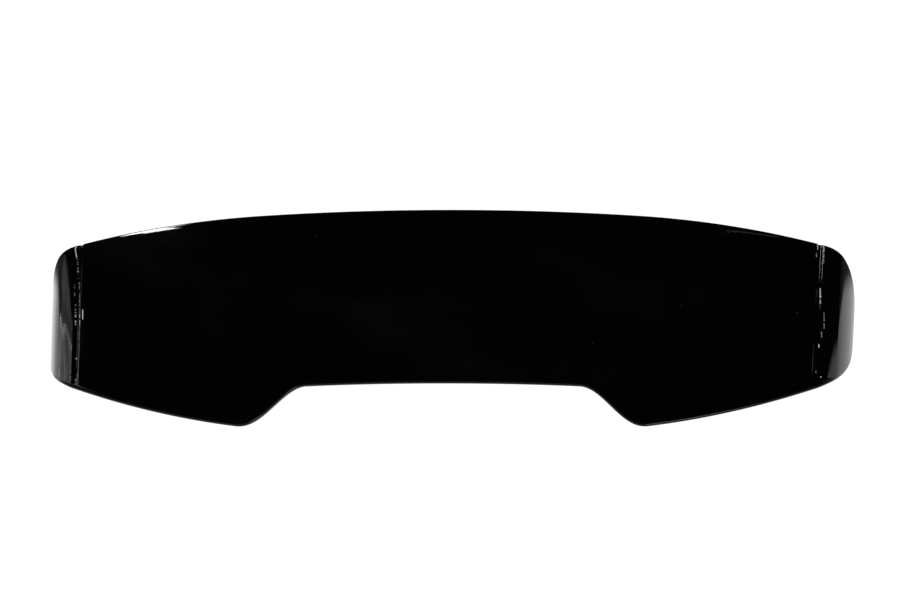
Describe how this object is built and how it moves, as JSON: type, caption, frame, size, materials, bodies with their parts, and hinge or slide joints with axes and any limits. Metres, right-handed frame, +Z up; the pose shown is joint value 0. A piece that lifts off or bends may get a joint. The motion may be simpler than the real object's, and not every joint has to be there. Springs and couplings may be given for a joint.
{
  "type": "car spoiler",
  "caption": "One-piece gloss-black tailgate spoiler with turned-down cheeks, roof-ditch channels, a recessed trailing edge and threaded inserts below.",
  "frame": {"origin": "centre of the bounding box in plan, at the level of the cheek seats", "axes": "+X to the car's right-hand end seen from behind, +Y towards the leading edge, +Z up"},
  "size_m": [1.2638, 0.3354, 0.118],
  "materials": {
    "gloss_panel": "polished gloss black",
    "insert_brass": "turned brass"
  },
  "bodies": {
    "root": {"spoiler_shell": "gloss_panel", "threaded_inserts": "insert_brass"}
  },
  "joints": []
}
